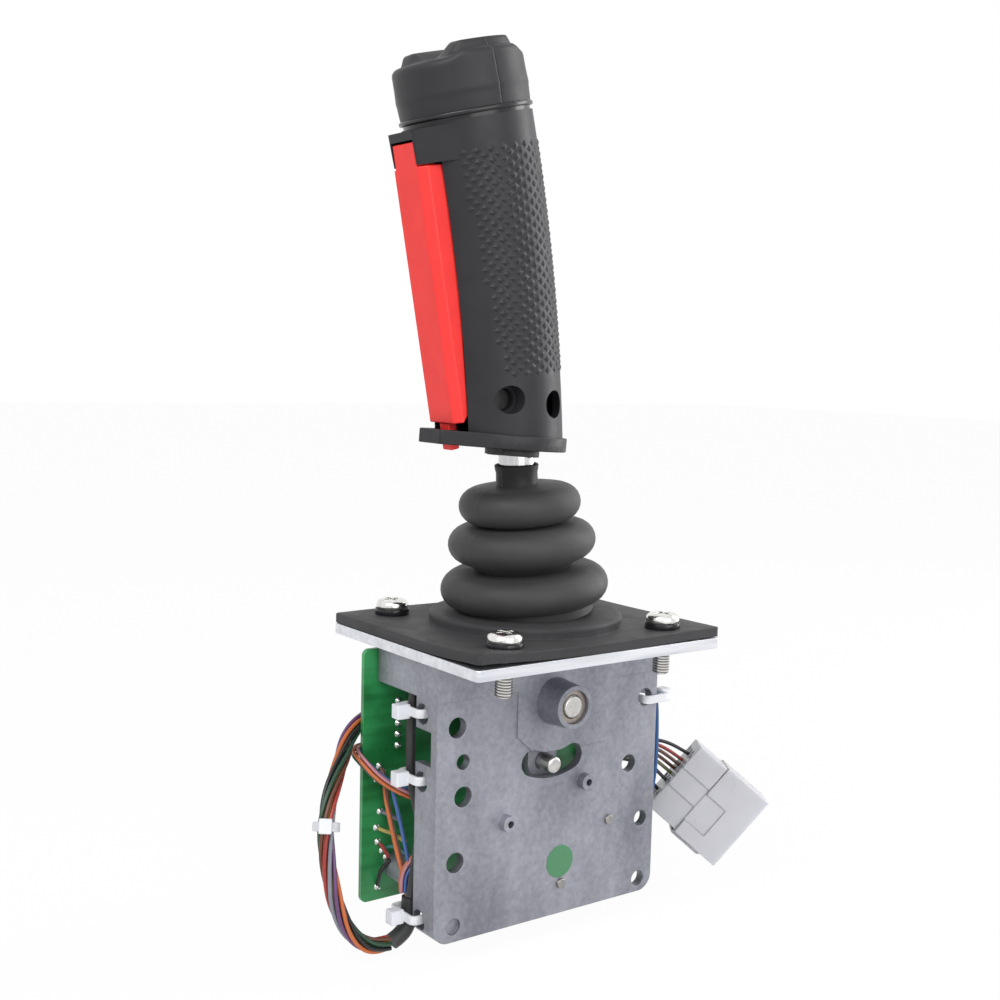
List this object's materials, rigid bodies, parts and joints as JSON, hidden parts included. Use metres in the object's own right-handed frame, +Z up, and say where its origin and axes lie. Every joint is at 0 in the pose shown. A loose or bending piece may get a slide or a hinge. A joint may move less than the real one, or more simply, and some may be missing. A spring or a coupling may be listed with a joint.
{
  "type": "industrial joystick",
  "caption": "Single-axis panel joystick with a pistol grip, a red trigger, a thumb rocker under a rubber cap, a bellows boot and a die-cast frame.",
  "frame": {"origin": "centre of the mounting plate's underside, the face that rests on the panel", "axes": "+X right along the wide front wall of the casting, +Y away from that wall, +Z up out of the panel towards the grip"},
  "size_m": [0.1647, 0.0762, 0.2599],
  "materials": {
    "bright_aluminium": "satin",
    "black_rubber": "matte",
    "bright_chrome": "polished",
    "dark_steel": "blackened",
    "cast_grey": "satin",
    "zinc_steel": "satin",
    "sintered_bronze": "satin",
    "spring_steel": "satin",
    "bright_steel": "polished",
    "black_plastic": "matte",
    "red_plastic": "satin",
    "gloss_black": "gloss",
    "board_green": "gloss",
    "white_nylon": "satin",
    "dark_sleeve": "matte",
    "wire_cover": "satin",
    "blue_wire_cover": "satin",
    "tinned_brass": "satin"
  },
  "bodies": {
    "base": {"mounting_plate": "bright_aluminium", "boot_flange": "black_rubber", "boot_bellows": "black_rubber", "plate_screws": "bright_chrome", "screw_washers": "dark_steel", "base_casting": "cast_grey", "wall_screws": "zinc_steel", "front_bush": "sintered_bronze", "rear_bush": "sintered_bronze", "spring_post": "zinc_steel", "centring_spring": "spring_steel", "control_board": "board_green", "board_screws": "zinc_steel", "board_components": "black_plastic", "angle_sensor": "black_plastic", "side_ties": "white_nylon", "loop_tie": "white_nylon", "right_tie": "white_nylon", "sleeved_cable": "dark_sleeve", "sleeve_end": "dark_sleeve", "wire_loop": "wire_cover", "branch_wires": "wire_cover", "blue_wires": "blue_wire_cover", "pigtail_wires": "wire_cover", "connector_housing": "white_nylon", "connector_terminals": "tinned_brass"},
    "handle": {"pivot_axle": "bright_steel", "yoke": "cast_grey", "yoke_screw": "zinc_steel", "guide_pin": "dark_steel", "axle_magnet": "dark_steel", "handle_shaft": "bright_steel", "grip_flange": "black_plastic", "grip_hub": "black_plastic", "grip_screws": "dark_steel", "grip_shell_near": "black_plastic", "grip_shell_far": "black_plastic", "trigger_pin": "bright_steel", "trigger_switch": "black_plastic", "trigger_spring": "spring_steel", "rocker_carrier": "black_plastic", "rocker_pin": "bright_steel", "rocker_switches": "black_plastic", "rubber_cap": "black_rubber", "cap_ring": "gloss_black"},
    "trigger": {"trigger": "red_plastic"},
    "trigger_plunger": {"trigger_plunger": "red_plastic"},
    "rocker": {"rocker_paddle": "black_plastic"},
    "rocker_plunger_near": {"rocker_plunger_near": "red_plastic"},
    "rocker_plunger_far": {"rocker_plunger_far": "red_plastic"}
  },
  "joints": [
    {"name": "handle_tilt", "type": "hinge", "parent": "base", "child": "handle", "pos_m": [0, 0, -0.0153], "axis": [0, 1, 0], "range_deg": [-22, 22], "stiffness_Nm_per_rad": 2.2, "deforming": ["boot_bellows", "centring_spring"]},
    {"name": "trigger_pull", "type": "hinge", "parent": "handle", "child": "trigger", "pos_m": [-0.04177, 0, 0.13916], "axis": [0, -1, 0], "range_deg": [0, 3], "stiffness_Nm_per_rad": 2, "springref_deg": -2.86, "deforming": ["trigger_spring"]},
    {"name": "trigger_plunger_slide", "type": "slide", "parent": "handle", "child": "trigger_plunger", "axis": [1, 0, 0], "range_m": [0, 0.0009]},
    {"name": "rocker_tilt", "type": "hinge", "parent": "handle", "child": "rocker", "pos_m": [-0.02732, 0, 0.15898], "axis": [0.9703, 0, 0.2419], "range_deg": [-9, 9], "stiffness_Nm_per_rad": 0.3, "deforming": ["rubber_cap"]},
    {"name": "rocker_plunger_near_slide", "type": "slide", "parent": "handle", "child": "rocker_plunger_near", "axis": [-0.2419, 0, 0.9703], "range_m": [-0.0017, 0.0017]},
    {"name": "rocker_plunger_far_slide", "type": "slide", "parent": "handle", "child": "rocker_plunger_far", "axis": [-0.2419, 0, 0.9703], "range_m": [-0.0017, 0.0017]}
  ],
  "couplings": [
    {"joint": "trigger_plunger_slide", "follows": "trigger_pull", "m_per_rad": 0.0155},
    {"joint": "rocker_plunger_near_slide", "follows": "rocker_tilt", "m_per_rad": -0.008},
    {"joint": "rocker_plunger_far_slide", "follows": "rocker_tilt", "m_per_rad": 0.008}
  ]
}
